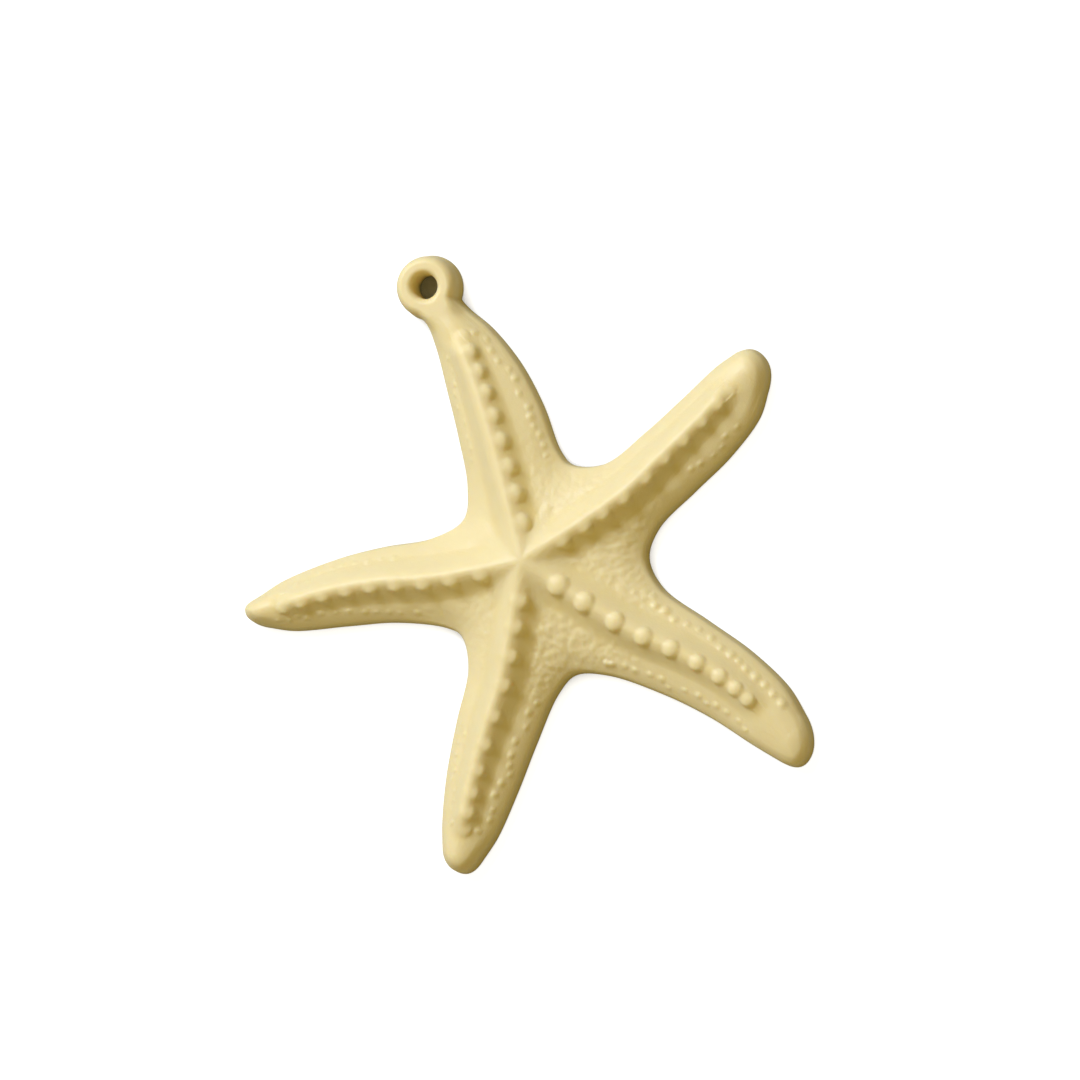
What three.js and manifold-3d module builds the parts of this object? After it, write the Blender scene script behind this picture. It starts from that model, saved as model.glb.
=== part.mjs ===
// A flat-backed five-armed starfish pendant, moulded in one piece with its hanging ring.
// Millimetres, +Z up out of the decorated face. The origin is the disc's centre on the
// flat back, and the arm that ends in the ring points along +Y.

import * as THREE from 'three';
import { mergeVertices } from 'three/addons/utils/BufferGeometryUtils.js';
import Module from 'manifold-3d';

// Arms, anticlockwise from the ring. Each row across an arm is
// [distance along the heading, right edge, crest, left edge, beads since the row before].
// The ridge ends at the last row that has beads. What follows is the smooth tip, or the
// neck of the ring, whose end lies at [distance along, distance across].
const ARMS = [
  {
    heading: 90,
    tip: [22.4, 0],
    rows: [
      [7.6, -5.2, -0.72, 2.95, 4],
      [11.6, -5.15, -1.0, 2.25, 2],
      [15.5, -4.6, -1.1, 1.8, 2],
      [19.0, -3.4, -0.85, 1.45, 2],
      [21.1, -2.2, -0.2, 1.5, 0],
      [22.1, -1.85, 0.05, 2.1, 0],
    ],
  },
  {
    heading: 169.6,
    tip: [24.25, -0.4],
    rows: [
      [8.0, -3.5, -0.1, 3.9, 4],
      [12.0, -3.55, -0.6, 2.7, 2],
      [16.0, -3.3, -0.7, 2.25, 2],
      [20.6, -2.4, -0.35, 1.8, 3],
      [22.5, -1.65, -0.25, 1.2, 0],
    ],
  },
  {
    heading: -126.3,
    tip: [25.7, 0.9],
    rows: [
      [9.6, -2.85, 0.75, 4.8, 4],
      [14.0, -2.6, 0.55, 4.15, 2],
      [18.2, -2.25, 0.5, 3.7, 2],
      [22.1, -1.55, 0.65, 3.1, 2],
      [24.1, -0.95, 0.7, 2.45, 0],
    ],
  },
  {
    heading: -53.6,
    tip: [27.5, -1.0],
    rows: [
      [10.0, -4.35, 0.1, 4.05, 4],
      [14.6, -3.15, 0.75, 3.85, 2],
      [18.9, -2.6, 0.9, 3.7, 2],
      [23.0, -2.55, 0.25, 2.95, 2],
      [25.3, -2.45, -0.3, 1.85, 0],
    ],
  },
  {
    heading: 18.8,
    tip: [24.95, 0.65],
    rows: [
      [9.6, -4.45, -0.92, 2.4, 4],
      [13.8, -4.05, -0.62, 2.2, 2],
      [17.8, -3.75, -0.3, 2.35, 2],
      [21.6, -2.85, 0.2, 2.55, 2],
      [23.3, -1.75, 0.4, 2.4, 0],
    ],
  },
];

// The bottom of the rounded bay before each arm, anticlockwise, as [heading, radius]:
// the first lies between the last arm and the first.
const BAYS = [
  [47.6, 8.5],
  [127.8, 6.75],
  [-155.2, 8.4],
  [-90.1, 9.7],
  [-18.5, 9.45],
];

// Heights above the flat back
const CREST_CENTRE = 5.2;
const CREST_FALL = 0.073; // lost in each millimetre out along an arm
const CREST_ROUNDING = 1; // the distance from the centre over which that fall sets in
const RIDGE_HEIGHT = 1.25; // of the ridge over the furrow beside it
const CENTRE_SWELL = 0.55; // the share of that height left where the five ridges meet
const BEAD_HEIGHT = 0.3; // between the top of a bead and the dip after it
const SHOULDER = 1.85; // of the flank where it reaches the arm's edge
const WALL_TOP = 1.35; // where the rounded edge meets the drafted side wall

// The ridge
const RIDGE_HALF_WIDTH = 1.25;
const RIDGE_FULLNESS = 1.5; // the power that rounds its top
const RIDGE_FOOT_LIMIT = 0.6; // the most of a narrow flank that the ridge takes up
const RIDGE_RISE = 4.0; // the distance out from the centre over which the ridge grows
const RIDGE_RUNOUT = 2.2; // the distance over which it sinks at its outer end
const TAPER_ENDS = [8, 22]; // the distances out between which the ridge tapers
const HEIGHT_TAPER = 0.35; // the share of its height that it loses there
const WIDTH_TAPER = 0.3; // and of its width

// The edge
const FLANK_FULLNESS = 1.35; // the power that keeps the flank full until it nears the edge
const SHOULDER_WIDTH = 1.1; // of the rounded edge, and twice that in a bay
const BAY_ENDS = [5, 12]; // the distances out between which the rounded edge narrows
const DRAFT = 0.14; // the wall's lean, from its top out to the back
const QUARTER = 0.5523; // handle of a cubic curve that follows a quarter circle of radius 1

// Hanging ring
const RING_X = -0.22;
const RING_Y = 23.86;
const RING_RADIUS = 2.65;
const RING_HEIGHT = 2.9;
const RING_EDGE = 0.9; // radius of its rounded upper edge
const BORE_RADIUS = 1.0;
const MOUTH_RADIUS = 1.5; // of the flared mouth of the bore
const MOUTH_DEPTH = 0.8;
const RING_SIDES = 40;

const STEPS_PER_BEAD = 2; // one rib on each bead and one in the dip after it
const STEPS_ON_TIP_ROW = 2;
const TIP_STEPS = 4; // round each half of the tip
const SHOULDER_STEPS = 3; // round the quarter ellipse of the shoulder
const RING_CURVE_STEPS = 4; // round each curve of the ring's section
const MERGE_DISTANCE = 1e-4;

const MATERIAL = { name: 'cream_plastic', color: 0xe9d9a4, roughness: 0.6, metalness: 0 };

const { degToRad, smoothstep } = THREE.MathUtils;

const wasm = await Module();
wasm.setup();

function onArm(arm, along, across) {
  const point = new THREE.Vector2(along, across);
  return point.rotateAround(new THREE.Vector2(), degToRad(arm.heading));
}

function bayBottom(index) {
  const [heading, radius] = BAYS[index % BAYS.length];
  return onArm({ heading }, radius, 0);
}

// Points round an arm's tip, from right to left between its last row's ends: two quarter
// rounds that leave along the edges and meet at the tip.
function tipArc(right, left, middle, tip) {
  const reach = QUARTER * tip.distanceTo(middle);
  const end = right.at(-1);
  const start = left.at(-1);
  const spread = start.clone().sub(end).multiplyScalar(QUARTER / 2);
  const onward = (edge) => edge.at(-1).clone().sub(edge.at(-2)).setLength(reach).add(edge.at(-1));
  const rise = new THREE.CubicBezierCurve(end, onward(right), tip.clone().sub(spread), tip);
  const fall = new THREE.CubicBezierCurve(tip, tip.clone().add(spread), onward(left), start);
  return [...rise.getPoints(TIP_STEPS).slice(1), ...fall.getPoints(TIP_STEPS).slice(1, -1)];
}

// A curve through knots, read by knot number, that leaves its ends as if it went on to
// the points before and after.
function curveThrough(before, knots, after) {
  const points = [before, ...knots, after].map((p) => new THREE.Vector3(p.x, p.y, 0));
  const curve = new THREE.CatmullRomCurve3(points);
  return (place) => {
    const point = curve.getPoint((place + 1) / (points.length - 1));
    return new THREE.Vector2(point.x, point.y);
  };
}

// A rib is one straight line in plan from an arm's crest out to its edge. The furrow
// beside the ridge deepens away from the centre, and the ridge tapers and then sinks into
// the flank at its outer end. Bead is 1 on a bead, 0 in a dip.
function makeRib(middle, edge, ridgeEnd, bead) {
  const out = middle.length();
  const crest = CREST_CENTRE - CREST_FALL * (Math.hypot(out, CREST_ROUNDING) - CREST_ROUNDING);
  const rise = smoothstep(out, 0, RIDGE_RISE);
  const taper = smoothstep(out, ...TAPER_ENDS);
  const swell = CENTRE_SWELL + (1 - CENTRE_SWELL) * rise;
  return {
    middle,
    edge,
    furrow: crest - RIDGE_HEIGHT * swell * (1 - HEIGHT_TAPER * taper),
    top: crest - BEAD_HEIGHT * (1 - bead) * rise,
    halfWidth: RIDGE_HALF_WIDTH * (1 - WIDTH_TAPER * taper),
    runout: 1 - smoothstep(out, ridgeEnd - RIDGE_RUNOUT, ridgeEnd),
    shoulderWidth: SHOULDER_WIDTH * (2 - smoothstep(out, ...BAY_ENDS)),
  };
}

// The ribs of one side of an arm, from the bay at its foot to its last row.
function sideRibs(arm, edgeAt, middleAt, ridgeEnd) {
  const ribs = [];
  arm.rows.forEach(([, , , , beads], row) => {
    const steps = beads ? beads * STEPS_PER_BEAD : STEPS_ON_TIP_ROW;
    for (let step = 0; step < steps; step++) {
      const place = row + step / steps;
      const bead = step % STEPS_PER_BEAD;
      ribs.push(makeRib(middleAt(place), edgeAt(place), ridgeEnd, bead));
    }
  });
  const last = arm.rows.length;
  ribs.push(makeRib(middleAt(last), edgeAt(last), ridgeEnd, 0));
  return ribs;
}

// All of one arm's ribs, up its right side, round its tip and back down its left side.
function armRibs(arm, index) {
  const count = ARMS.length;
  const previous = ARMS[(index + count - 1) % count];
  const next = ARMS[(index + 1) % count];
  const centre = new THREE.Vector2();
  const right = arm.rows.map((row) => onArm(arm, row[0], row[1]));
  const middle = arm.rows.map((row) => onArm(arm, row[0], row[2]));
  const left = arm.rows.map((row) => onArm(arm, row[0], row[3]));
  const tip = onArm(arm, ...arm.tip);
  const arc = tipArc(right, left, middle.at(-1), tip);
  const middleAt = curveThrough(middle[0].clone().negate(), [centre, ...middle], tip);
  const beforeRight = onArm(previous, previous.rows[0][0], previous.rows[0][3]);
  const beforeLeft = onArm(next, next.rows[0][0], next.rows[0][1]);
  const rightAt = curveThrough(beforeRight, [bayBottom(index), ...right], arc[0]);
  const leftAt = curveThrough(beforeLeft, [bayBottom(index + 1), ...left], arc.at(-1));
  const ridgeEnd = middle.findLast((_, row) => arm.rows[row][4] > 0).length();
  const upRight = sideRibs(arm, rightAt, middleAt, ridgeEnd);
  const round = arc.map((edge) => makeRib(middle.at(-1), edge, ridgeEnd, 0));
  const downLeft = sideRibs(arm, leftAt, middleAt, ridgeEnd).reverse();
  return [...upRight, ...round, ...downLeft.slice(0, -1)];
}

// The points of the star's skin along one rib: over the ridge and furrow, across the
// flank, round the shoulder, down the wall and back under to the middle line.
function ribPoints(rib) {
  const { middle, edge, furrow, top, halfWidth, runout, shoulderWidth } = rib;
  const length = middle.distanceTo(edge);
  const flankEnd = length - Math.min(shoulderWidth, length / 2);
  const foot = Math.min(halfWidth, RIDGE_FOOT_LIMIT * flankEnd);
  const at = (across, z) => {
    const plan = middle.clone().lerp(edge, across / length);
    return new THREE.Vector3(plan.x, plan.y, z);
  };
  const flank = (across) => SHOULDER + (furrow - SHOULDER) * (1 - (across / length) ** FLANK_FULLNESS);
  const face = (across) => {
    const share = Math.min(across / foot, 1);
    const base = flank(across);
    return at(across, base + (top - base) * runout * (1 - share ** RIDGE_FULLNESS));
  };
  const round = [];
  for (let step = 0; step <= SHOULDER_STEPS; step++) {
    const angle = (Math.PI / 2) * (step / SHOULDER_STEPS);
    const across = flankEnd + (length - flankEnd - DRAFT) * Math.sin(angle);
    round.push(at(across, WALL_TOP + (flank(across) - WALL_TOP) * Math.cos(angle)));
  }
  const flat = [face(0), face(foot / 2), face(foot), face((foot + flankEnd) / 2)];
  return [...flat, ...round, at(length, 0), at(0, 0)];
}

// A sheet bent round the ribs, closed on itself at the first rib and along the middle
// lines, where the points of neighbouring ribs coincide and are merged.
function starGeometry() {
  const ribs = ARMS.flatMap(armRibs);
  const lines = [...ribs, ribs[0]].map(ribPoints);
  const rows = lines[0].length - 1;
  const sheet = new THREE.PlaneGeometry(1, 1, lines.length - 1, rows);
  const position = sheet.getAttribute('position');
  for (let k = 0; k < position.count; k++) {
    const point = lines[k % lines.length][Math.floor(k / lines.length)];
    position.setXYZ(k, point.x, point.y, point.z);
  }
  return sheet;
}

// The ring is turned about its bore: a closed profile that stays off the axis.
function ringGeometry() {
  const profile = new THREE.Path();
  profile.moveTo(BORE_RADIUS, 0);
  profile.lineTo(RING_RADIUS, 0);
  profile.lineTo(RING_RADIUS - DRAFT, RING_HEIGHT - RING_EDGE);
  profile.absarc(RING_RADIUS - DRAFT - RING_EDGE, RING_HEIGHT - RING_EDGE, RING_EDGE, 0, Math.PI / 2);
  profile.lineTo(MOUTH_RADIUS, RING_HEIGHT);
  profile.quadraticCurveTo(BORE_RADIUS, RING_HEIGHT, BORE_RADIUS, RING_HEIGHT - MOUTH_DEPTH);
  profile.closePath();
  const ring = new THREE.LatheGeometry(profile.getPoints(RING_CURVE_STEPS), RING_SIDES);
  ring.rotateX(Math.PI / 2);
  ring.translate(RING_X, RING_Y, 0);
  return ring;
}

// Keeps only positions, merges the points that coincide and drops flat triangles.
function closedMesh(geometry) {
  geometry.deleteAttribute('normal');
  geometry.deleteAttribute('uv');
  const merged = mergeVertices(geometry, MERGE_DISTANCE);
  const corners = merged.getIndex().array;
  const kept = [];
  for (let k = 0; k < corners.length; k += 3) {
    const [a, b, c] = corners.subarray(k, k + 3);
    if (a !== b && b !== c && c !== a) {
      kept.push(a, b, c);
    }
  }
  merged.setIndex(kept);
  return merged;
}

function toSolid(geometry) {
  const mesh = closedMesh(geometry);
  const vertProperties = new Float32Array(mesh.getAttribute('position').array);
  const triVerts = new Uint32Array(mesh.getIndex().array);
  return new wasm.Manifold(new wasm.Mesh({ numProp: 3, vertProperties, triVerts }));
}

function toGeometry(solid) {
  const { vertProperties, triVerts } = solid.getMesh();
  const geometry = new THREE.BufferGeometry();
  geometry.setAttribute('position', new THREE.BufferAttribute(vertProperties, 3));
  geometry.setIndex(new THREE.BufferAttribute(triVerts, 1));
  geometry.computeVertexNormals();
  return geometry;
}

const body = toSolid(starGeometry()).add(toSolid(ringGeometry()));
const starfish = new THREE.Mesh(toGeometry(body), new THREE.MeshStandardMaterial(MATERIAL));
starfish.name = 'starfish';

const pendant = new THREE.Group();
pendant.add(starfish);

export default pendant;
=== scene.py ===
"""A moulded starfish pendant: its finished surface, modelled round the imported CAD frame.

The pendant is one flat-backed moulding of cream resin. Its skin is a sheet of quads bent
round ribs, each a straight line in plan from the crest of an arm's ridge out to its edge,
and lifted by plain height functions: flanks, ridges, beads, shoulders and the ring.
Pearls stand along its edges, and a leathery grain covers the bays between its arms.
"""

import math
import random

import bmesh
import bpy
import numpy as np
from mathutils import Matrix, Vector, noise
from mathutils.kdtree import KDTree


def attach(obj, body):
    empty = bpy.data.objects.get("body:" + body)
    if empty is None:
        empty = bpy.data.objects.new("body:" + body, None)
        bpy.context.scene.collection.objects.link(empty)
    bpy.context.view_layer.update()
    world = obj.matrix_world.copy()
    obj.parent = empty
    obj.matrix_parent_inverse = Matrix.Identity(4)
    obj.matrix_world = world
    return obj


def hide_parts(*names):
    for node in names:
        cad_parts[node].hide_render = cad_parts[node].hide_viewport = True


bl_info = {
    "name": "Moulded starfish pendant",
    "version": (1, 0, 0),
    "blender": (4, 5, 0),
    "location": "3D View > Sidebar > Starfish",
    "description": "Builds a moulded starfish pendant with beaded ridges and a hanging ring",
    "category": "Add Mesh",
}

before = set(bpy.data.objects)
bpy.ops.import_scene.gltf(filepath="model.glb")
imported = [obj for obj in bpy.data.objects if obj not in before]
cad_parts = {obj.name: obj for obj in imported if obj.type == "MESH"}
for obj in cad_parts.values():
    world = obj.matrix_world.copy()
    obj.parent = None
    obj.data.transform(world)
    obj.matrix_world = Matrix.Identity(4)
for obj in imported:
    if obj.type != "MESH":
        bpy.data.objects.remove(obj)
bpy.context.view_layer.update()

MM = 0.001
BODY = "starfish_skin"

# Arms, anticlockwise from the one that carries the ring, in millimetres. A row across an
# arm is (distance along the heading, right edge, crest, left edge), and the tip is
# (distance along, distance across). Beads stand on the ridge at distances along its crest,
# bead_aside to the left of it, with dips between them as deep as bead_stand, a share of
# the bead rise. Pearls stand along an edge from one distance out to another, and have one
# diameter. All three are 0 where an edge has none.
ARMS = (
    {
        "heading": 90.0,
        "tip": (22.4, 0.0),
        "rows": (
            (7.6, -5.2, -0.72, 2.95),
            (11.6, -5.15, -1.0, 2.25),
            (15.5, -4.6, -1.1, 1.8),
            (19.0, -3.4, -0.85, 1.45),
            (21.1, -2.2, -0.2, 1.5),
        ),
        "ridge_end": 19.6,
        "bead_stand": 0.45,
        "bead_aside": -0.35,
        "beads": (2.9, 5.4, 7.6, 9.8, 11.9, 13.9, 15.7, 17.4, 18.8),
        "bead_radii": (1.05, 0.7),
        "right_pearls": (7.5, 19.5, 0.55),
        "left_pearls": (9.5, 18.5, 0.35),
    },
    {
        "heading": 169.6,
        "tip": (24.25, -0.4),
        "rows": (
            (8.0, -3.5, -0.1, 3.9),
            (12.0, -3.55, -0.6, 2.7),
            (16.0, -3.3, -0.7, 2.25),
            (20.6, -2.4, -0.35, 1.8),
            (22.5, -1.65, -0.25, 1.2),
        ),
        "ridge_end": 21.7,
        "bead_stand": 0.45,
        "bead_aside": 0.2,
        "beads": (3.5, 6.1, 8.4, 10.7, 12.85, 14.95, 17.0, 18.9, 20.5),
        "bead_radii": (0.9, 0.62),
        "right_pearls": (11.0, 21.0, 0.4),
        "left_pearls": (10.0, 21.5, 0.45),
    },
    {
        "heading": -126.3,
        "tip": (25.7, 0.9),
        "rows": (
            (9.6, -2.85, 0.75, 4.8),
            (14.0, -2.6, 0.55, 4.15),
            (18.2, -2.25, 0.5, 3.7),
            (22.1, -1.55, 0.65, 3.1),
            (24.1, -0.95, 0.7, 2.45),
        ),
        "ridge_end": 23.0,
        "bead_stand": 0.45,
        "bead_aside": 0.2,
        "beads": (3.2, 5.3, 7.7, 10.05, 12.65, 15.05, 17.2, 19.1, 20.7, 22.0),
        "bead_radii": (0.9, 0.62),
        "right_pearls": (14.0, 22.0, 0.35),
        "left_pearls": (11.0, 22.5, 0.5),
    },
    {
        "heading": -53.6,
        "tip": (27.5, -1.0),
        "rows": (
            (10.0, -4.35, 0.1, 4.05),
            (14.6, -3.15, 0.75, 3.85),
            (18.9, -2.6, 0.9, 3.7),
            (23.0, -2.55, 0.25, 2.95),
            (25.3, -2.45, -0.3, 1.85),
        ),
        "ridge_end": 22.9,
        "bead_stand": 0.9,
        "bead_aside": -0.05,
        "beads": (3.5, 6.0, 8.9, 11.5, 13.9, 16.3, 18.4, 20.0, 21.3),
        "bead_radii": (0.95, 0.55),
        "right_pearls": (9.5, 23.0, 0.5),
        "left_pearls": (10.0, 24.5, 0.6),
    },
    {
        "heading": 18.8,
        "tip": (24.95, 0.65),
        "rows": (
            (9.6, -4.45, -0.92, 2.4),
            (13.8, -4.05, -0.62, 2.2),
            (17.8, -3.75, -0.3, 2.35),
            (21.6, -2.85, 0.2, 2.55),
            (23.3, -1.75, 0.4, 2.4),
        ),
        "ridge_end": 22.2,
        "bead_stand": 0.4,
        "bead_aside": -0.2,
        "beads": (3.6, 5.65, 7.5, 9.5, 11.85, 14.0, 16.1, 18.15, 20.0, 21.3),
        "bead_radii": (0.85, 0.62),
        "right_pearls": (15.0, 20.5, 0.4),
        "left_pearls": (0.0, 0.0, 0.0),
    },
)

# The rounded bay before each arm: (heading, distance from the centre to its bottom,
# strength of its grain from 0 to 1)
BAYS = (
    (47.6, 8.5, 0.5),
    (127.8, 6.75, 0.1),
    (-155.2, 8.4, 0.4),
    (-90.1, 9.7, 1.0),
    (-18.5, 9.45, 0.85),
)

# The hanging ring, in millimetres and degrees
RING_ARM = 0  # the arm that carries it
RING_CENTRE = np.array((-0.22, 23.86))
RING_FREE = (-40.0, 232.0)  # the headings between which the ring's rim is clear of the neck
RING_REACH = (-0.3, 1.2)  # its level face fades out between these distances past its rim

# Where features start and end. A pair is the two distances, in millimetres, between which
# something grows or fades, out along an arm unless it says otherwise.
CREST_CAP = 1.0  # rounds the peak where the crests meet
CREST_RADIUS = 0.2  # rounds the top of a ridge
RIDGE_START = (0.0, 4.0)  # ridges grow to their full height
RIDGE_TAPER = (8.0, 22.0)  # ridges get lower and narrower
RIDGE_NARROWING = 0.3  # share of its width that a ridge loses by its outer end
DIPS_START = (0.0, 2.5)  # the dips between beads grow to their full depth
TIP_START = (-2.0, 1.0)  # past a ridge's end, the flanks become the dome of the tip
BAY_END = (5.0, 12.0)  # a shoulder narrows from the double width that it has in a bay
SHOULDER_TAPER = (18.0, 24.0)  # a shoulder narrows again towards the tip
TIP_NARROWING = 0.35  # share of its width that a shoulder loses by the tip
RING_NARROWING = 0.1  # share of its width that a shoulder loses on the ring

BEAD_REACH = 1.5  # the radii within which a bead can show
BEAD_SKIRT = 3.0  # slope of a bead's side below its round
BEAD_LEAN = 0.6  # how much lower a bead stands for each millimetre that it lies beside the crest
PEARL_SEED = 7
PEARL_SPREAD = 1.25  # a pearl's foot, as a share of its radius
PEARL_INSETS = (0.75, 1.35)  # these three pairs are shares of a pearl's usual measures
PEARL_SIZES = (0.8, 1.25)
PEARL_PITCHES = (0.7, 1.3)

GRAIN_FACING = (0.72, 0.92)  # cosines between which the grain grows towards a bay's heading
GRAIN_START = (1.5, 3.5)  # the grain grows, out from the centre
GRAIN_END = (1.0, 4.5)  # the grain fades, past the bottom of a bay
GRAIN_OFF_CREST = (1.2, 2.2)  # the grain grows, away from a crest
GRAIN_OFF_EDGE = (0.1, 0.8)  # the grain grows, away from an edge
GRAIN_FINE = 0.55  # size of the fine grains, as a share of the coarse lumps
GRAIN_MIX = 0.6  # strength of each of the two

QUARTER = 0.5523  # handle of a cubic curve that follows a quarter circle of radius 1
CREST_PULL = 5  # power by which the nearest crest outweighs the others
NEAREST = 1e-4  # the least distance to a crest, which keeps its pull finite
TINY = 1e-6  # keeps a divisor off zero
TANGENT_STEP = 0.2  # distance each way over which a crest's direction is taken
SEAM = 1e-4  # points of the sheet nearer than this are joined
BORE_SLACK = 0.05  # how far outside the bore its edge is looked for
BACK_FACING = -0.9  # faces whose normals point down more than this are the flat back
# These two shape the mask of the painted shade in the hollows.
HOLLOW_PASSES = 24  # each spreads the mean that a hollow is measured against by one face
HOLLOW_DEPTH = 0.18  # the depth under that mean, in millimetres, which counts as full

RESIN = "cream_moulded_resin"


def linear(hex_colour):
    """An sRGB hex colour as the linear values that shaders take."""
    channels = [int(hex_colour[k : k + 2], 16) / 255 for k in (1, 3, 5)]
    return tuple(c / 12.92 if c <= 0.04045 else ((c + 0.055) / 1.055) ** 2.4 for c in channels)


def smoothstep(value, low, high):
    """Grows smoothly from 0 to 1 as a value goes from low to high."""
    t = np.clip((value - low) / (high - low), 0, 1)
    return t * t * (3 - 2 * t)


def quarter_round(share):
    """How far a quarter circle has dropped, 0 to 1, at a share of the way across it."""
    return 1 - np.sqrt(1 - np.clip(share, 0, 1) ** 2)


def soft_max(a, b, blend):
    """The greater of two heights, with a fillet where they cross."""
    share = np.clip(0.5 + 0.5 * (b - a) / blend, 0, 1)
    return a + (b - a) * share + blend * share * (1 - share)


def at_heading(heading, along, across=0.0):
    """A plan point, from its distances along and to the left of a heading."""
    a = math.radians(heading)
    x, y = math.cos(a), math.sin(a)
    return np.array((along * x - across * y, along * y + across * x))


def curve_through(before, knots, after, places):
    """Points on a centripetal Catmull-Rom curve, at places counted in knots."""
    points = np.array([before, *knots, after])
    first = np.minimum(places.astype(int), len(knots) - 2)
    t = (places - first)[:, None]
    p0, p1, p2, p3 = (points[first + k] for k in range(4))
    g0, g1, g2 = (
        np.sqrt(np.linalg.norm(b - a, axis=1))[:, None]
        for a, b in ((p0, p1), (p1, p2), (p2, p3))
    )
    leave = (p1 - p0) / g0 - (p2 - p0) / (g0 + g1) + (p2 - p1) / g1
    arrive = (p2 - p1) / g1 - (p3 - p1) / (g1 + g2) + (p3 - p2) / g2
    turn = (t**3 - 2 * t**2 + t) * leave * g1 + (t**3 - t**2) * arrive * g1
    return (2 * t**3 - 3 * t**2 + 1) * p1 + (3 * t**2 - 2 * t**3) * p2 + turn


def bezier(start, leave, arrive, end, t):
    """Points on a cubic curve, from its ends and the handles by which it leaves and arrives."""
    near_start = (1 - t) ** 3 * start + 3 * (1 - t) ** 2 * t * leave
    return near_start + 3 * (1 - t) * t**2 * arrive + t**3 * end


def unit(vectors):
    return vectors / np.linalg.norm(vectors, axis=-1, keepdims=True)


class Distance:
    """Distances from plan points to the nearest of a set of points, and its index."""

    def __init__(self, points):
        self.tree = KDTree(len(points))
        for k, (x, y) in enumerate(points):
            self.tree.insert((x, y, 0), k)
        self.tree.balance()

    def __call__(self, points):
        found = [self.tree.find((x, y, 0)) for x, y in points]
        return np.array([f[2] for f in found]), np.array([f[1] for f in found])


class Arm:
    """One arm's crest, edges and ribs, in plan, in millimetres."""

    def __init__(self, index, shape):
        self.facts = ARMS[index]
        self.shape = shape
        self.has_ring = index == RING_ARM
        right, middle, left = self.knots(index)
        before_right = self.knots(index - 1)[2][1]
        before_left = self.knots((index + 1) % len(ARMS))[0][1]
        end_starts, end_edges = self.end_ribs(right, middle, left)
        gaps = [np.linalg.norm(b - a) for a, b in zip(middle, middle[1:])]
        steps = [max(2, round(gap / shape.rib_spacing * MM)) for gap in gaps]
        places = np.concatenate([k + np.arange(n) / n for k, n in enumerate(steps)] + [[len(gaps)]])
        onward = 2 * middle[-1] - middle[-2]
        self.crest = curve_through(-middle[1], middle, onward, places)
        lengths = np.linalg.norm(np.diff(self.crest, axis=0), axis=1)
        self.outs = np.concatenate([[0], np.cumsum(lengths)])
        self.right_edge = curve_through(before_right, right, end_edges[0], places)
        self.left_edge = curve_through(before_left, left, end_edges[-1], places)
        self.rib_starts = np.concatenate([self.crest, end_starts, self.crest[:0:-1]])
        self.rib_edges = np.concatenate([self.right_edge, end_edges, self.left_edge[:0:-1]])

    def knots(self, index):
        """The knots of an arm's right edge, crest and left edge, each from foot to last row."""
        arm = ARMS[index]
        right = [at_heading(*BAYS[index][:2])]
        left = [at_heading(*BAYS[(index + 1) % len(BAYS)][:2])]
        middle = [np.zeros(2)]
        for along, *places in arm["rows"]:
            for line, across in zip((right, middle, left), places):
                line.append(at_heading(arm["heading"], along, across))
        if index == RING_ARM:
            right.append(self.on_ring(RING_FREE[0], self.shape.ring_diameter))
            left.append(self.on_ring(RING_FREE[1], self.shape.ring_diameter))
            middle.append(self.on_ring(-90, self.shape.bore_diameter))
        return right, middle, left

    @staticmethod
    def on_ring(heading, diameter):
        """A point on a circle round the ring's centre."""
        return RING_CENTRE + at_heading(heading, diameter / MM / 2)

    def end_ribs(self, right, middle, left):
        """Where the ribs past the last row start and end: round the tip, or round the bore."""
        spacing = self.shape.rib_spacing / MM
        if self.has_ring:
            low, high = (math.radians(heading) for heading in RING_FREE)
            count = round((high - low) * self.shape.ring_diameter / MM / 2 / spacing)
            outer = np.linspace(*RING_FREE, count + 1)[1:-1]
            inner = np.linspace(-90, 270, count + 1)[1:-1]
            starts = [self.on_ring(heading, self.shape.bore_diameter) for heading in inner]
            return starts, [self.on_ring(heading, self.shape.ring_diameter) for heading in outer]
        tip = at_heading(self.facts["heading"], *self.facts["tip"])
        reach = QUARTER * np.linalg.norm(tip - middle[-1])
        spread = QUARTER * (left[-1] - right[-1]) / 2
        up = right[-1] + reach * unit(right[-1] - right[-2])
        down = left[-1] + reach * unit(left[-1] - left[-2])
        count = round(math.pi * np.linalg.norm(right[-1] - left[-1]) / 4 / spacing)
        shares = np.arange(1, count + 1)[:, None] / count
        rise = bezier(right[-1], up, tip - spread, tip, shares)
        fall = bezier(tip, tip + spread, down, left[-1], shares)[:-1]
        edges = list(np.concatenate([rise, fall]))
        return [middle[-1]] * len(edges), edges

    def on_line(self, line, out):
        """The point of one of the arm's lines at a distance out along its crest."""
        return np.array([np.interp(out, self.outs, line[:, k]) for k in (0, 1)])

    def bead_place(self, out):
        """A bead's centre, a little to one side of the crest."""
        ahead, behind = (self.on_line(self.crest, out + k * TANGENT_STEP) for k in (1, -1))
        along = unit(ahead - behind)
        aside = self.facts["bead_aside"]
        return self.on_line(self.crest, out) + aside * np.array((-along[1], along[0]))


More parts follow.
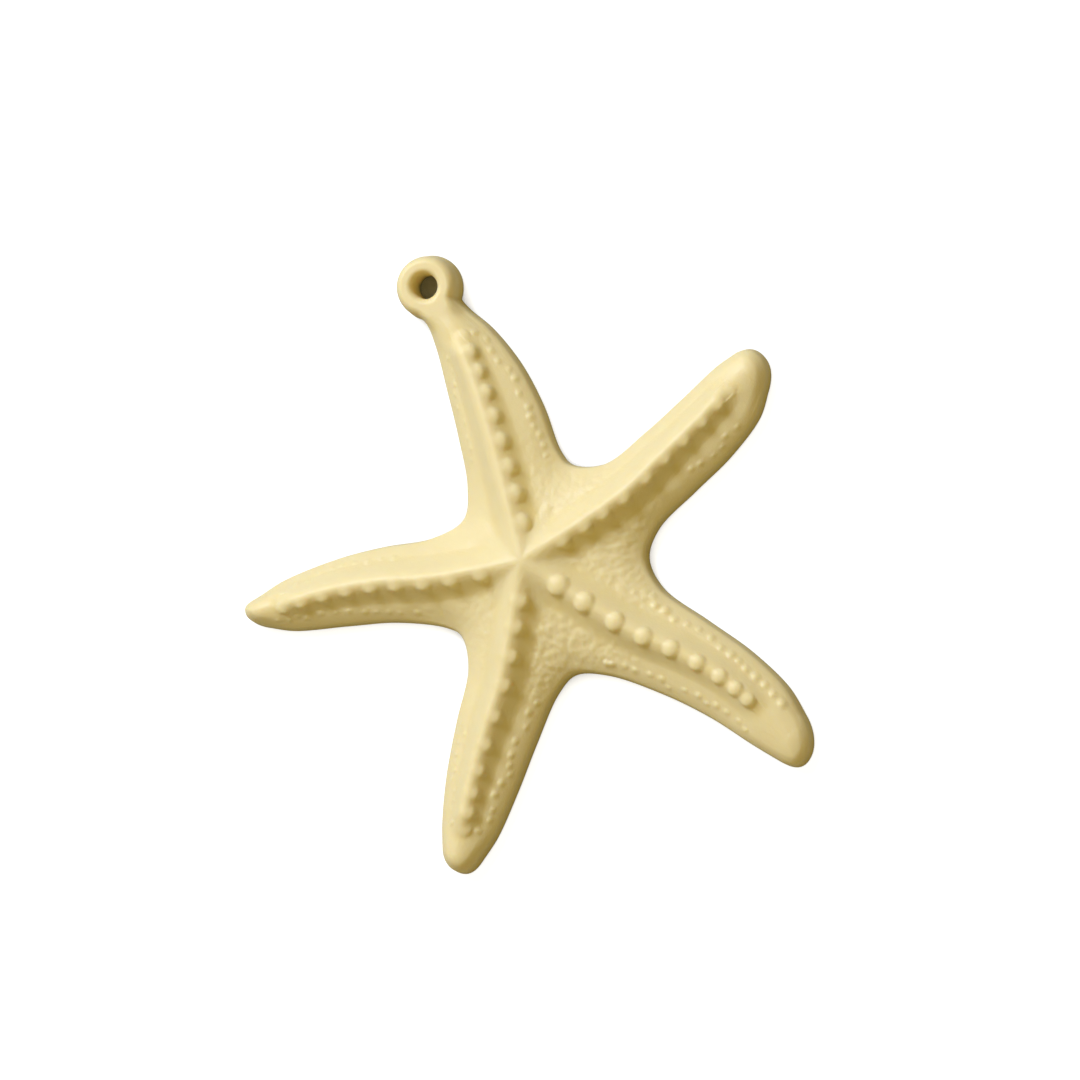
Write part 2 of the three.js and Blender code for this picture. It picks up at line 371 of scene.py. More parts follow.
class Skin:
    """The pendant's outline, and the height of its skin over any point of the plan."""

    def __init__(self, shape):
        self.shape = shape
        self.arms = [Arm(index, shape) for index in range(len(ARMS))]
        self.starts = np.concatenate([arm.rib_starts for arm in self.arms])
        foot = np.concatenate([arm.rib_edges for arm in self.arms])
        onward = np.roll(foot, -1, axis=0) - np.roll(foot, 1, axis=0)
        self.outward = unit(np.stack([onward[:, 1], -onward[:, 0]], axis=1))
        self.edges = foot - self.outward * shape.draft / MM
        self.from_edges = Distance(self.edges)
        self.from_crests = [Distance(arm.crest) for arm in self.arms]

    def crest_height(self, out):
        """Height of a ridge's crest at a distance out along it."""
        s = self.shape
        return s.crest_height / MM - s.crest_fall * (np.sqrt(out**2 + CREST_CAP**2) - CREST_CAP)

    def furrow_height(self, out):
        """Height of the furrows beside a ridge at a distance out along it."""
        s = self.shape
        grown = s.centre_share + (1 - s.centre_share) * smoothstep(out, *RIDGE_START)
        taper = 1 - s.ridge_taper * smoothstep(out, *RIDGE_TAPER)
        return self.crest_height(out) - s.ridge_height / MM * grown * taper

    def along_crests(self, points):
        """Distance to the crests, and the distance out along them, the end of the ridge and
        the stand of its beads at the nearest crest, all blended where arms meet."""
        near = [tree(points) for tree in self.from_crests]
        away = np.maximum(np.array([n[0] for n in near]), NEAREST)
        outs = np.array([arm.outs[n[1]] for arm, n in zip(self.arms, near)])
        ends = np.array([[arm["ridge_end"]] for arm in ARMS])
        stands = np.array([[arm["bead_stand"]] for arm in ARMS])
        pull = (away / away.min(axis=0)) ** -CREST_PULL
        total = pull.sum(axis=0)
        share = pull / total
        softened = away.min(axis=0) * total ** (-1 / CREST_PULL)
        out, end, stand = ((facts * share).sum(axis=0) for facts in (outs, ends, stands))
        return softened, out, end, stand

    def height(self, points):
        """Height of the skin over plan points."""
        s = self.shape
        from_edge, _ = self.from_edges(points)
        from_crest, out, ridge_end, stand = self.along_crests(points)
        share = from_crest / np.maximum(from_crest + from_edge, TINY)
        shoulder, furrow = s.shoulder_height / MM, self.furrow_height(out)
        past_ridge = smoothstep(out - ridge_end, *TIP_START)
        fullness = s.flank_fullness + (s.tip_fullness - s.flank_fullness) * past_ridge
        height = shoulder + (furrow - shoulder) * (1 - share**fullness)
        height = self.with_ridge(height, from_crest, out, ridge_end, stand)
        for arm in self.arms:
            height = self.with_beads(height, points, arm)
        height, on_ring = self.with_ring(height, points)
        widening = 1 - smoothstep(out, *BAY_END) - TIP_NARROWING * smoothstep(out, *SHOULDER_TAPER)
        width = s.shoulder_width / MM * (1 + widening) * (1 - RING_NARROWING * on_ring)
        drop = quarter_round(1 - from_edge / width)
        height = height - (height - s.wall_height / MM) * drop
        height = self.with_pearls(height, points)
        in_field = smoothstep(from_crest, *GRAIN_OFF_CREST) * smoothstep(from_edge, *GRAIN_OFF_EDGE)
        return height + in_field * self.grain(points)

    def with_ridge(self, height, from_crest, out, ridge_end, stand):
        """Raises the rounded ridges, lower than their crests by the dips between the beads."""
        s = self.shape
        dip = s.bead_rise / MM * stand * smoothstep(out, *DIPS_START)
        rise = self.crest_height(out) - height - dip
        rise *= 1 - smoothstep(out, ridge_end - s.ridge_runout / MM, ridge_end)
        half = s.ridge_width / MM / 2 * (1 - RIDGE_NARROWING * smoothstep(out, *RIDGE_TAPER))
        across = np.sqrt(from_crest**2 + CREST_RADIUS**2) - CREST_RADIUS
        roof = 1 - (across / half) ** s.ridge_fullness
        return height + rise * soft_max(roof, 0, s.ridge_fillet)

    def with_beads(self, height, points, arm):
        """Melts an arm's round beads into the ridge."""
        first, last = arm.facts["bead_radii"]
        height = height.copy()
        for place in arm.facts["beads"]:
            radius = first + (last - first) * place / arm.facts["ridge_end"]
            away = np.linalg.norm(points - arm.bead_place(place), axis=1)
            near = away < BEAD_REACH * radius
            dome = np.sqrt(np.maximum(radius**2 - away[near] ** 2, 0)) - radius
            skirt = BEAD_SKIRT * np.maximum(away[near] - radius, 0)
            dome = self.bead_top(place, arm.facts) + self.shape.bead_roundness * dome - skirt
            height[near] = soft_max(height[near], dome, self.shape.bead_blend / MM)
        return height

    def bead_top(self, place, facts):
        """Height of a bead's top: lower beside the crest, and sunk where the ridge runs out."""
        end = facts["ridge_end"]
        sunk = smoothstep(place, end - self.shape.ridge_runout / MM, end)
        crest, furrow = self.crest_height(place), self.furrow_height(place)
        return crest + (furrow - crest) * sunk - BEAD_LEAN * abs(facts["bead_aside"])

    def with_ring(self, height, points):
        """Levels the ring's face and flares the mouth of its bore."""
        s = self.shape
        from_centre = np.linalg.norm(points - RING_CENTRE, axis=1)
        rim, mouth, bore = (d / MM / 2 for d in (s.ring_diameter, s.mouth_diameter, s.bore_diameter))
        on_ring = 1 - smoothstep(from_centre - rim, *RING_REACH)
        height = height + (s.ring_height / MM - height) * on_ring
        flare = quarter_round((mouth - from_centre) / (mouth - bore))
        return height - s.mouth_depth / MM * flare, on_ring

    def pearl_places(self):
        """Centres and radii of the pearls along the arms' edges."""
        rng = random.Random(PEARL_SEED)
        places = []
        for arm in self.arms:
            for side, edge in (("right_pearls", arm.right_edge), ("left_pearls", arm.left_edge)):
                out, end, diameter = arm.facts[side]
                while out < end:
                    foot, crest = arm.on_line(edge, out), arm.on_line(arm.crest, out)
                    inset = self.shape.pearl_inset / MM * rng.uniform(*PEARL_INSETS)
                    radius = diameter / 2 * rng.uniform(*PEARL_SIZES)
                    places.append((foot + unit(crest - foot) * inset, radius))
                    out += self.shape.pearl_pitch / MM * rng.uniform(*PEARL_PITCHES)
        return places

    def with_pearls(self, height, points):
        """Raises the small round pearls along the edges."""
        height = height.copy()
        for centre, radius in self.pearl_places():
            away = np.linalg.norm(points - centre, axis=1) / (PEARL_SPREAD * radius)
            near = away < 1
            height[near] += self.shape.pearl_rise * radius * (1 - away[near] ** 2) ** 1.5
        return height

    def grain(self, points):
        """The leathery relief of the bays between the arms, coarse pits under fine grains."""
        radius = np.linalg.norm(points, axis=1)
        relief = np.array([self.grain_at(x, y) for x, y in points])
        cover = np.zeros(len(points))
        for heading, depth, strength in BAYS:
            facing = points @ at_heading(heading, 1.0) / np.maximum(radius, TINY)
            inside = smoothstep(facing, *GRAIN_FACING) * smoothstep(radius, *GRAIN_START)
            cover += strength * inside * (1 - smoothstep(radius - depth, *GRAIN_END))
        return self.shape.grain_depth / MM * cover * relief

    def grain_at(self, x, y):
        """The relief at one point: two noises, on planes too far apart to match."""
        coarse = self.shape.grain_size / MM
        fine = coarse * GRAIN_FINE
        lumps = noise.noise(Vector((x / coarse, y / coarse, 0.0)))
        grains = noise.noise(Vector((x / fine, y / fine, 5.0)))
        return GRAIN_MIX * lumps + GRAIN_MIX * grains


def skin_sheet(skin):
    """The sheet bent round the ribs: over the face, down the wall and round the foot."""
    s = skin.shape
    ribs, face_rows, wall_rows = len(skin.starts), s.face_rows, s.wall_rows
    rows = face_rows + wall_rows + 1
    bm = bmesh.new()
    bmesh.ops.create_grid(bm, x_segments=ribs, y_segments=rows, size=0.5)
    grid = np.array([v.co[:2] for v in bm.verts]) + 0.5
    rib = np.rint(grid[:, 0] * ribs).astype(int) % ribs
    row = np.rint(grid[:, 1] * rows).astype(int)
    start, edge, outward = skin.starts[rib], skin.edges[rib], skin.outward[rib]
    plan = start + (edge - start) * np.minimum(row / face_rows, 1)[:, None]
    height = skin.height(plan)
    down = np.clip((row - face_rows) / wall_rows, 0, 1)
    height = height * (1 - down) + s.foot_radius / MM * down
    plan += outward * (s.draft / MM * down)[:, None]
    under = row == rows
    plan[under] -= outward[under] * s.foot_radius / MM
    height[under] = 0
    # The hollow layer is the mask of the painted shade: the resin is painted a deeper gold where the
    # skin lies under its neighbours.
    hollow = hollowness(height, rib, row, ribs, rows)
    layer = bm.verts.layers.float.new("hollow")
    for v, (x, y), z, deep in zip(bm.verts, plan, height, hollow):
        v.co = (x, y, z)
        v[layer] = deep
    return bm


def hollowness(height, rib, row, ribs, rows):
    """How deep each point lies under the mean of its neighbours, from 0 to 1: the mask where shade is
    painted into the resin's colour.
    """
    lattice = np.zeros((ribs, rows + 1))
    lattice[rib, row] = height
    mean = lattice
    for _ in range(HOLLOW_PASSES):
        along = (np.roll(mean, 1, axis=0) + mean + np.roll(mean, -1, axis=0)) / 3
        padded = np.pad(along, ((0, 0), (1, 1)), mode="edge")
        mean = (padded[:, :-2] + along + padded[:, 2:]) / 3
    return np.clip((mean - lattice)[rib, row] / HOLLOW_DEPTH, 0, 1)


def close_body(bm, skin):
    """Joins the sheet along its seams, takes the bore down to the back and fills the back."""
    s = skin.shape
    bmesh.ops.remove_doubles(bm, verts=bm.verts, dist=SEAM)
    centre = Vector(RING_CENTRE)
    reach = s.bore_diameter / MM / 2 + BORE_SLACK
    loop = [e for e in bm.edges if e.is_boundary and (e.verts[0].co.xy - centre).length < reach]
    top = s.ring_height / MM - s.mouth_depth / MM
    for step in range(1, s.wall_rows + 1):
        made = bmesh.ops.extrude_edge_only(bm, edges=loop)["geom"]
        for v in (g for g in made if isinstance(g, bmesh.types.BMVert)):
            v.co.z = top * (1 - step / s.wall_rows)
        loop = [g for g in made if isinstance(g, bmesh.types.BMEdge) and g.is_boundary]
    rims = [e for e in bm.edges if e.is_boundary]
    bmesh.ops.triangle_fill(bm, use_beauty=True, use_dissolve=False, edges=rims)
    bmesh.ops.recalc_face_normals(bm, faces=bm.faces)


def add_node(tree, kind, settings=None, inputs=None):
    """Adds a node with its settings, and gives its inputs values or links."""
    node = tree.nodes.new(kind)
    for name, value in (settings or {}).items():
        setattr(node, name, value)
    for name, value in (inputs or {}).items():
        if isinstance(value, bpy.types.NodeSocket):
            tree.links.new(value, node.inputs[name])
        else:
            node.inputs[name].default_value = value
    return node


def empty_material(name):
    """A new material with no nodes, in the place of any old one of that name."""
    old = bpy.data.materials.get(name)
    if old:
        bpy.data.materials.remove(old)
    material = bpy.data.materials.new(name)
    material.use_nodes = True
    material.node_tree.nodes.clear()
    return material


def moulded_resin(finish):
    """Polyester resin, cast in a soft mould: cream, matte and faintly waxy. Its hollows are painted a
    deeper gold as painted shade, its colour drifts a little, and its skin keeps the mould's fine
    tooth."""
    material = empty_material(RESIN)
    tree = material.node_tree
    place = add_node(tree, "ShaderNodeTexCoord").outputs["Object"]
    drift = add_node(
        tree,
        "ShaderNodeTexNoise",
        inputs={"Vector": place, "Scale": 1 / finish.drift_size, "Detail": 3.0, "Roughness": 0.55},
    )
    tooth = add_node(
        tree,
        "ShaderNodeTexNoise",
        inputs={"Vector": place, "Scale": 1 / finish.tooth_size, "Detail": 2.0, "Roughness": 0.6},
    )
    # Painted shade: the hollow mask mixes a deeper gold into the cream, in the furrows and between
    # the beads where shade falls.
    hollow = add_node(tree, "ShaderNodeAttribute", {"attribute_name": "hollow"}).outputs["Fac"]
    depth = add_node(
        tree,
        "ShaderNodeMapRange",
        inputs={"Value": hollow, "To Max": finish.painted_shade_tint},
    ).outputs["Result"]
    drift_share = add_node(
        tree,
        "ShaderNodeMapRange",
        inputs={
            "Value": drift.outputs["Fac"],
            "From Min": 0.35,
            "From Max": 0.65,
            "To Max": finish.drift,
        },
    ).outputs["Result"]
    cream = (*finish.cream, 1.0)
    warm = (*finish.warm_cream, 1.0)
    gold = (*finish.painted_shade_gold, 1.0)
    mottled = add_node(
        tree,
        "ShaderNodeMix",
        {"data_type": "RGBA"},
        {"Factor": drift_share, "A": cream, "B": warm},
    )
    tinted = add_node(
        tree,
        "ShaderNodeMix",
        {"data_type": "RGBA"},
        {"Factor": depth, "A": mottled.outputs["Result"], "B": gold},
    )
    gloss = add_node(
        tree,
        "ShaderNodeMapRange",
        inputs={
            "Value": drift.outputs["Fac"],
            "To Min": finish.roughness - finish.roughness_drift,
            "To Max": finish.roughness + finish.roughness_drift,
        },
    )
    relief = add_node(
        tree,
        "ShaderNodeBump",
        inputs={"Strength": finish.tooth, "Distance": 0.04 * MM, "Height": tooth.outputs["Fac"]},
    )
    shader = add_node(
        tree,
        "ShaderNodeBsdfPrincipled",
        inputs={
            "Base Color": tinted.outputs["Result"],
            "Roughness": gloss.outputs["Result"],
            "Normal": relief.outputs["Normal"],
            "Subsurface Weight": finish.wax,
            "Subsurface Radius": (1.0, 0.82, 0.42),
            "Subsurface Scale": finish.wax_depth,
            "IOR": 1.5,
            "Specular IOR Level": 0.45,
        },
    )
    add_node(tree, "ShaderNodeOutputMaterial", inputs={"Surface": shader.outputs["BSDF"]})
    return material


def pale_paper(finish):
    """Matte paper with a faint tooth. A glow that only the camera sees lifts it to white, and fades
    close to the pendant, so a thin painted shadow shows there and the paper under the bore shows
    dark."""
    material = empty_material("matte_paper")
    tree = material.node_tree
    place = add_node(tree, "ShaderNodeTexCoord").outputs["Object"]
    fibre = add_node(tree, "ShaderNodeTexNoise", inputs={"Vector": place, "Scale": 1 / (0.4 * MM)})
    relief = add_node(
        tree,
        "ShaderNodeBump",
        inputs={"Strength": 0.05, "Distance": 0.02 * MM, "Height": fibre.outputs["Fac"]},
    )
    # Painted shadow: the ambient occlusion fades the camera-only glow round the pendant's foot and
    # under the bore.
    open_sky = add_node(tree, "ShaderNodeAmbientOcclusion", {"samples": 8}, {"Distance": 3 * MM})
    seen = add_node(tree, "ShaderNodeLightPath").outputs["Is Camera Ray"]
    clear = add_node(
        tree,
        "ShaderNodeMapRange",
        inputs={"Value": open_sky.outputs["AO"], "From Min": 0.25, "From Max": 0.6},
    )
    shown = add_node(
        tree,
        "ShaderNodeMath",
        {"operation": "MULTIPLY"},
        {0: clear.outputs["Result"], 1: seen},
    )
    glow = add_node(
        tree,
        "ShaderNodeMath",
        {"operation": "MULTIPLY"},
        {0: shown.outputs["Value"], 1: finish.paper_glow},
    )
    shader = add_node(
        tree,
        "ShaderNodeBsdfPrincipled",
        inputs={
            "Base Color": (*finish.paper, 1.0),
            "Roughness": 0.9,
            "Specular IOR Level": 0.1,
            "Normal": relief.outputs["Normal"],
            "Emission Color": (1.0, 1.0, 1.0, 1.0),
            "Emission Strength": glow.outputs["Value"],
        },
    )
    add_node(tree, "ShaderNodeOutputMaterial", inputs={"Surface": shader.outputs["BSDF"]})
    return material


def add_piece(context, name, bm):
    """Makes a finished piece from a bmesh in millimetres, smooth but for its flat back."""
    old = bpy.data.objects.get(name)
    if old:
        bpy.data.objects.remove(old)
    bmesh.ops.scale(bm, vec=(MM, MM, MM), verts=bm.verts)
    for face in bm.faces:
        face.smooth = face.normal.z > BACK_FACING
    mesh = bpy.data.meshes.new(name)
    bm.to_mesh(mesh)
    bm.free()
    mesh.materials.append(resin_of(context))
    piece = bpy.data.objects.new(name, mesh)
    context.scene.collection.objects.link(piece)
    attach(piece, "root")
    return piece


def resin_of(context):
    """The resin that every piece shares, made the first time it is asked for."""
    found = bpy.data.materials.get(RESIN)
    return found or moulded_resin(context.scene.starfish_finish)


class StarfishShape(bpy.types.PropertyGroup):
    crest_height: bpy.props.FloatProperty(
        name="Height at centre",
        description="Height of the ridges' crests where the five arms meet",
        default=5.2 * MM,
        unit="LENGTH",
    )
    crest_fall: bpy.props.FloatProperty(
        name="Fall of crests",
        description="Height that a crest loses for each unit out along an arm",
        default=0.073,
    )
    ridge_height: bpy.props.FloatProperty(
        name="Ridge height",
        description="Height of a crest over the furrows beside it",
        default=1.25 * MM,
        unit="LENGTH",
    )
    ridge_width: bpy.props.FloatProperty(
        name="Ridge width",
        description="Width of a ridge between its two furrows, near the centre",
        default=2.6 * MM,
        unit="LENGTH",
    )
    ridge_fullness: bpy.props.FloatProperty(
        name="Ridge fullness",
        description="Power that rounds a ridge's top: 1 is a sharp roof, 2 an even arch",
        default=1.3,
        min=1.0,
        max=3.0,
    )
    ridge_fillet: bpy.props.FloatProperty(
        name="Ridge fillet",
        description="Size of the fillet at a ridge's foot, as a share of the ridge's height",
        default=0.55,
        subtype="FACTOR",
    )
    ridge_runout: bpy.props.FloatProperty(
        name="Ridge runout",
        description="Distance over which a ridge and its beads sink at their outer end",
        default=2.2 * MM,
        unit="LENGTH",
    )
    ridge_taper: bpy.props.FloatProperty(
        name="Ridge taper",
        description="Share of its height that a ridge loses by its outer end",
        default=0.35,
        subtype="FACTOR",
    )
    centre_share: bpy.props.FloatProperty(
        name="Ridge height at centre",
        description="Share of the ridge height left where the five ridges meet",
        default=0.55,
        subtype="FACTOR",
    )
    bead_rise: bpy.props.FloatProperty(
        name="Bead rise",
        description="Height of a bead over the ridge between beads, where its arm's stand is 1",
        default=0.28 * MM,
        unit="LENGTH",
    )
    bead_roundness: bpy.props.FloatProperty(
        name="Bead roundness",
        description="Height of a bead as a share of a full ball's",
        default=0.55,
        min=0.3,
        max=1.0,
    )
    bead_blend: bpy.props.FloatProperty(
        name="Bead fillet",
        description="Size of the fillet round the foot of a bead",
        default=0.2 * MM,
        unit="LENGTH",
    )
    flank_fullness: bpy.props.FloatProperty(
        name="Flank fullness",
        description="Power that keeps a flank full until it nears the shoulder",
        default=1.35,
    )
    tip_fullness: bpy.props.FloatProperty(
        name="Tip fullness",
        description="The same power past the end of the ridge, where the tip is a smooth dome",
        default=2.0,
    )
    shoulder_height: bpy.props.FloatProperty(
        name="Shoulder height",
        description="Height of an arm's rounded edge",
        default=1.85 * MM,
        unit="LENGTH",
    )
    shoulder_width: bpy.props.FloatProperty(
        name="Shoulder width",
        description="Width of the rounded edge in plan",
        default=1.1 * MM,
        unit="LENGTH",
    )
    wall_height: bpy.props.FloatProperty(
        name="Wall height",
        description="Height of the side wall under the rounded edge",
        default=1.35 * MM,
        unit="LENGTH",
    )
    draft: bpy.props.FloatProperty(
        name="Draft",
        description="How far the side wall leans in from the back to its top",
        default=0.14 * MM,
        unit="LENGTH",
    )
    foot_radius: bpy.props.FloatProperty(
        name="Foot chamfer",
        description="Size of the small chamfer between the wall and the back",
        default=0.12 * MM,
        unit="LENGTH",
    )
    ring_diameter: bpy.props.FloatProperty(
        name="Ring diameter",
        description="Outer diameter of the hanging ring",
        default=5.3 * MM,
        unit="LENGTH",
    )
    ring_height: bpy.props.FloatProperty(
        name="Ring height",
        description="Height of the hanging ring's face over the back",
        default=2.9 * MM,
        unit="LENGTH",
    )
    bore_diameter: bpy.props.FloatProperty(
        name="Bore diameter",
        description="Diameter of the hole through the hanging ring",
        default=2.0 * MM,
        unit="LENGTH",
    )
    mouth_diameter: bpy.props.FloatProperty(
        name="Mouth diameter",
        description="Diameter of the bore's flared mouth",
        default=3.0 * MM,
        unit="LENGTH",
    )
    mouth_depth: bpy.props.FloatProperty(
        name="Mouth depth",
        description="Depth of the bore's flared mouth",
        default=0.8 * MM,
        unit="LENGTH",
    )
    pearl_inset: bpy.props.FloatProperty(
        name="Pearl inset",
        description="Distance of the pearls in from an arm's edge",
        default=0.95 * MM,
        unit="LENGTH",
    )
    pearl_pitch: bpy.props.FloatProperty(
        name="Pearl pitch",
        description="Mean distance from one pearl to the next",
        default=1.0 * MM,
        unit="LENGTH",
    )
    pearl_rise: bpy.props.FloatProperty(
        name="Pearl rise",
        description="Height of a pearl as a share of its radius",
        default=0.5,
        min=0.0,
        max=1.0,
    )
    grain_size: bpy.props.FloatProperty(
        name="Grain size",
        description="Width of the coarse lumps in the bays",
        default=0.75 * MM,
        unit="LENGTH",
    )
    grain_depth: bpy.props.FloatProperty(
        name="Grain depth",
        description="Depth of the leathery relief in the bays",
        default=0.11 * MM,
        unit="LENGTH",
    )
    rib_spacing: bpy.props.FloatProperty(
        name="Rib spacing",
        description="Distance between the ribs that carry the skin",
        default=0.18 * MM,
        min=0.1 * MM,
        unit="LENGTH",
    )
    face_rows: bpy.props.IntProperty(
        name="Rows on the face",
        description="Rows of faces from a crest out to the edge",
        default=50,
        min=8,
    )
    wall_rows: bpy.props.IntProperty(
        name="Rows on the wall",
        description="Rows of faces down the side wall",
        default=4,
        min=1,
    )


class StarfishFinish(bpy.types.PropertyGroup):
    cream: bpy.props.FloatVectorProperty(
        name="Cream",
        description="Colour of the resin",
        subtype="COLOR",
        default=linear("#e7d8ab"),
    )
    warm_cream: bpy.props.FloatVectorProperty(
        name="Warm cream",
        description="Colour that the resin drifts towards in places",
        subtype="COLOR",
        default=linear("#e3d19e"),
    )
    # Painted shade: the deeper gold painted into the hollows where shade falls, and its share in the
    # deepest of them.
    painted_shade_gold: bpy.props.FloatVectorProperty(
        name="Hollow gold",
        description="Colour of the resin in its hollows",
        subtype="COLOR",
        default=linear("#e3cb78"),
    )
    painted_shade_tint: bpy.props.FloatProperty(
        name="Hollow tint",
        description="Share of the gold in the deepest hollows",
        default=0.5,
        subtype="FACTOR",
    )
    roughness: bpy.props.FloatProperty(
        name="Roughness",
        description="Roughness of the resin's skin",
        default=0.5,
        subtype="FACTOR",
    )
    wax: bpy.props.FloatProperty(
        name="Waxiness",
        description="Share of the light that travels under the skin",
        default=0.6,
        subtype="FACTOR",
    )
    wax_depth: bpy.props.FloatProperty(
        name="Wax depth",
        description="How far light travels under the skin",
        default=0.8 * MM,
        unit="LENGTH",
    )
    drift: bpy.props.FloatProperty(
        name="Drift",
        description="Share of the warm cream where the colour drifts most",
        default=0.3,
        subtype="FACTOR",
    )
    roughness_drift: bpy.props.FloatProperty(
        name="Roughness drift",
        description="How far the roughness drifts each way",
        default=0.05,
        subtype="FACTOR",
    )
    drift_size: bpy.props.FloatProperty(
        name="Drift size",
        description="Width of the patches where the colour drifts",
        default=2.0 * MM,
        unit="LENGTH",
    )
    tooth_size: bpy.props.FloatProperty(
        name="Tooth size",
        description="Width of the fine grain that the mould left",
        default=0.22 * MM,
        unit="LENGTH",
    )
    tooth: bpy.props.FloatProperty(
        name="Tooth",
        description="Strength of the fine grain that the mould left",
        default=0.35,
        subtype="FACTOR",
    )
    paper: bpy.props.FloatVectorProperty(
        name="Paper",
        description="Colour of the paper under the pendant",
        subtype="COLOR",
        default=linear("#989896"),
    )
    paper_glow: bpy.props.FloatProperty(
        name="Paper glow",
        description="Light that shows on the paper, as on a lit backdrop",
        default=0.95,
    )


class StarfishStudio(bpy.types.PropertyGroup):
    turn: bpy.props.FloatProperty(
        name="Turn",
        description="Heading of the picture's right side in plan",
        default=math.radians(-20.97),
        subtype="ANGLE",
    )
    lean_right: bpy.props.FloatProperty(
        name="Lean right",
        description="Angle by which the camera leans to the picture's right",
        default=math.radians(13),
        subtype="ANGLE",
    )
    lean_down: bpy.props.FloatProperty(
        name="Lean down",
        description="Angle by which the camera leans to the picture's foot",
        default=math.radians(2),
        subtype="ANGLE",
    )
    aim: bpy.props.FloatVectorProperty(
        name="Aim",
        description="Point on the paper that the camera looks at",
        default=(1.01 * MM, 1.59 * MM, 0.0),
        subtype="TRANSLATION",
        unit="LENGTH",
    )
    distance: bpy.props.FloatProperty(
        name="Distance",
        description="Distance of the camera from the point that it looks at",
        default=0.6,
        unit="LENGTH",
    )
    view_width: bpy.props.FloatProperty(
        name="View width",
        description="Width of what the camera takes in at that distance",
        default=86.94 * MM,
        unit="LENGTH",
    )
    key_heading: bpy.props.FloatProperty(
        name="Key heading",
        description="Direction in plan that the main light comes from",
        default=math.radians(109),
        subtype="ANGLE",
    )
    key_height: bpy.props.FloatProperty(
        name="Key elevation",
        description="Angle of the main light over the paper",
        default=math.radians(48),
        subtype="ANGLE",
    )
    key_power: bpy.props.FloatProperty(
        name="Key power",
        description="Power of the main light",
        default=7.1,
        unit="POWER",
    )
    key_size: bpy.props.FloatProperty(
        name="Key size",
        description="Diameter of the main light",
        default=0.35,
        unit="LENGTH",
    )
    key_distance: bpy.props.FloatProperty(
        name="Key distance",
        description="Distance of the main light from the pendant",
        default=0.8,
        unit="LENGTH",
    )
    key_colour: bpy.props.FloatVectorProperty(
        name="Key colour",
        description="Colour of the main light",
        subtype="COLOR",
        default=(0.74, 0.83, 1.0),
    )
    fill_colour: bpy.props.FloatVectorProperty(
        name="Fill colour",
        description="Colour of the even light from all round",
        subtype="COLOR",
        default=(1.0, 0.8, 0.26),
    )
    paper_size: bpy.props.FloatProperty(
        name="Paper size",
        description="Width of the paper",
        default=3.0,
        unit="LENGTH",
    )
    paper_gap: bpy.props.FloatProperty(
        name="Paper gap",
        description="Distance of the paper under the back",
        default=0.02 * MM,
        unit="LENGTH",
    )
    fill: bpy.props.FloatProperty(
        name="Fill",
        description="Strength of the even light from all round",
        default=0.44,
    )


class STARFISH_OT_skin(bpy.types.Operator):
    """Adds the pendant's body: disc, arms, beaded ridges, side walls, back and hanging ring"""

    bl_idname = "starfish.skin"
    bl_label = "Starfish skin"

    def execute(self, context):
        skin = Skin(context.scene.starfish_shape)
        bm = skin_sheet(skin)
        close_body(bm, skin)
        holes = [e for e in bm.edges if not e.is_manifold]
        if holes:
            raise RuntimeError(f"the pendant's skin has {len(holes)} open edges")
        piece = add_piece(context, BODY, bm)
        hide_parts("starfish")
        return {"FINISHED"}


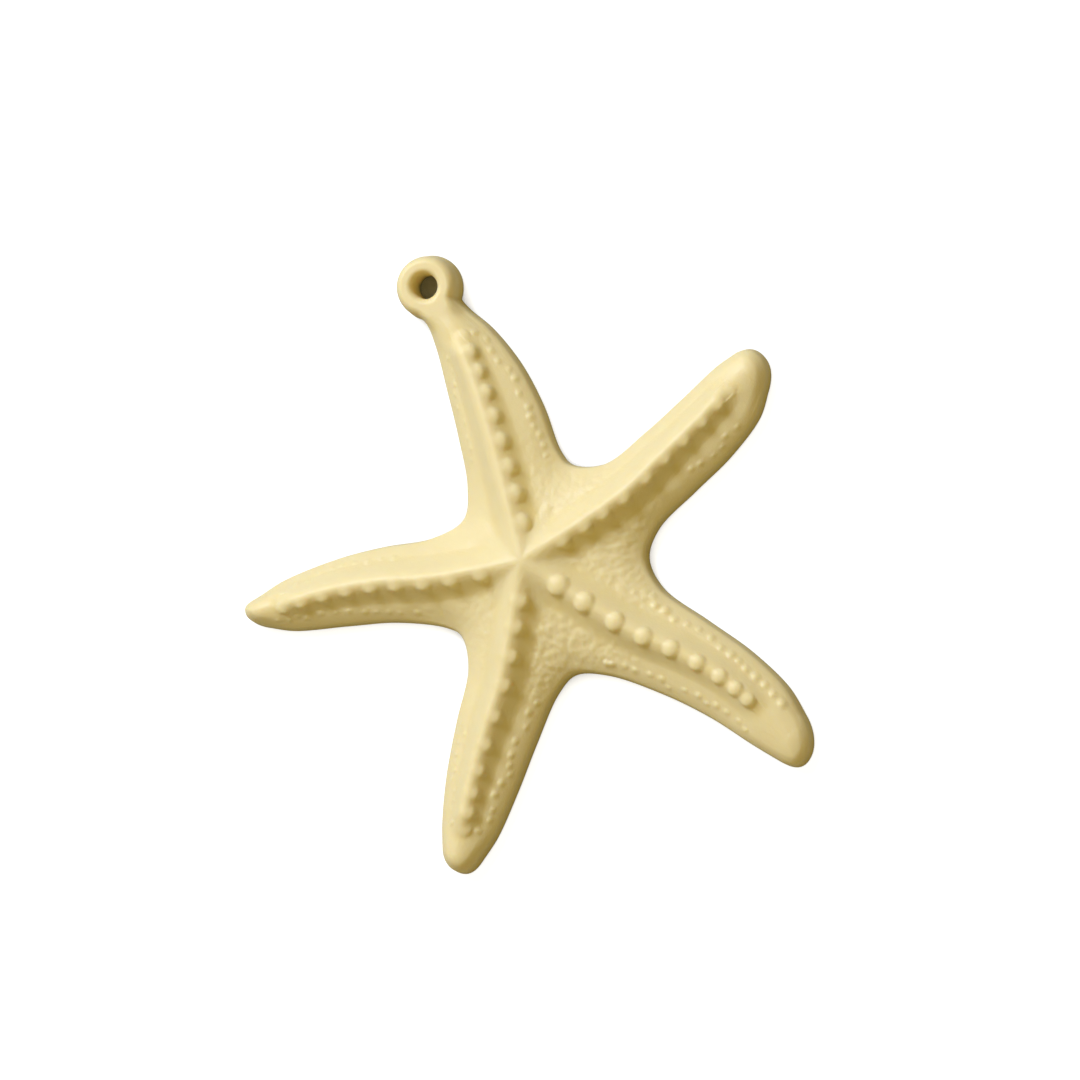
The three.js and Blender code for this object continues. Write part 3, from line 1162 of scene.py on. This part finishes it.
class STARFISH_OT_stage(bpy.types.Operator):
    """Adds the paper, the lights and the camera"""

    bl_idname = "starfish.stage"
    bl_label = "Paper, lights and camera"

    def execute(self, context):
        scene = context.scene
        studio = scene.starfish_studio
        self.lay_paper(scene, studio)
        self.hang_lights(scene, studio)
        self.place_camera(scene, studio)
        scene.view_settings.view_transform = "Standard"
        return {"FINISHED"}

    def lay_paper(self, scene, studio):
        bm = bmesh.new()
        bmesh.ops.create_grid(bm, x_segments=8, y_segments=8, size=studio.paper_size / 2)
        bmesh.ops.translate(bm, vec=(0, 0, -studio.paper_gap), verts=bm.verts)
        mesh = bpy.data.meshes.new("paper")
        bm.to_mesh(mesh)
        bm.free()
        mesh.materials.append(pale_paper(scene.starfish_finish))
        paper = bpy.data.objects.new("paper", mesh)
        scene.collection.objects.link(paper)

    def hang_lights(self, scene, studio):
        key = bpy.data.lights.new("key", "AREA")
        key.shape = "DISK"
        key.size = studio.key_size
        key.energy = studio.key_power
        key.color = studio.key_colour
        lamp = bpy.data.objects.new("key", key)
        flat, high = math.cos(studio.key_height), math.sin(studio.key_height)
        heading = studio.key_heading
        away = Vector((flat * math.cos(heading), flat * math.sin(heading), high))
        lamp.location = away * studio.key_distance
        lamp.rotation_euler = away.to_track_quat("Z", "Y").to_euler()
        scene.collection.objects.link(lamp)
        world = bpy.data.worlds.new("studio")
        world.use_nodes = True
        background = world.node_tree.nodes["Background"]
        background.inputs["Color"].default_value = (*studio.fill_colour, 1.0)
        background.inputs["Strength"].default_value = studio.fill
        scene.world = world

    def place_camera(self, scene, studio):
        """Aims the camera from its two leans, and sets its lens to take in the view's width."""
        right = Vector((math.cos(studio.turn), math.sin(studio.turn), 0))
        up = Vector((-right.y, right.x, 0))
        side, down = math.sin(studio.lean_right), math.sin(studio.lean_down)
        back = side * right - down * up + math.sqrt(1 - side**2 - down**2) * Vector((0, 0, 1))
        across = (right - back * right.dot(back)).normalized()
        data = bpy.data.cameras.new("camera")
        data.lens = data.sensor_width * studio.distance / studio.view_width
        camera = bpy.data.objects.new("camera", data)
        turned = Matrix((across, back.cross(across), back)).transposed().to_4x4()
        camera.matrix_world = Matrix.Translation(Vector(studio.aim) + back * studio.distance) @ turned
        scene.collection.objects.link(camera)
        scene.camera = camera


class STARFISH_PT_panel(bpy.types.Panel):
    """The pendant's sizes and colours, and a button for each step"""

    bl_idname = "STARFISH_PT_panel"
    bl_label = "Moulded starfish"
    bl_space_type = "VIEW_3D"
    bl_region_type = "UI"
    bl_category = "Starfish"

    def draw(self, context):
        scene = context.scene
        for group in (scene.starfish_shape, scene.starfish_finish, scene.starfish_studio):
            box = self.layout.box()
            for name in group.__annotations__:
                box.prop(group, name)
        for operator in OPERATORS:
            self.layout.operator(operator.bl_idname)


OPERATORS = (STARFISH_OT_skin, STARFISH_OT_stage)
CLASSES = (StarfishShape, StarfishFinish, StarfishStudio, *OPERATORS, STARFISH_PT_panel)


def register():
    for cls in CLASSES:
        bpy.utils.register_class(cls)
    bpy.types.Scene.starfish_shape = bpy.props.PointerProperty(type=StarfishShape)
    bpy.types.Scene.starfish_finish = bpy.props.PointerProperty(type=StarfishFinish)
    bpy.types.Scene.starfish_studio = bpy.props.PointerProperty(type=StarfishStudio)


def unregister():
    del bpy.types.Scene.starfish_shape
    del bpy.types.Scene.starfish_finish
    del bpy.types.Scene.starfish_studio
    for cls in reversed(CLASSES):
        bpy.utils.unregister_class(cls)


def main():
    register()
    bpy.ops.starfish.skin()
    bpy.ops.starfish.stage()


if __name__ == "__main__":
    main()
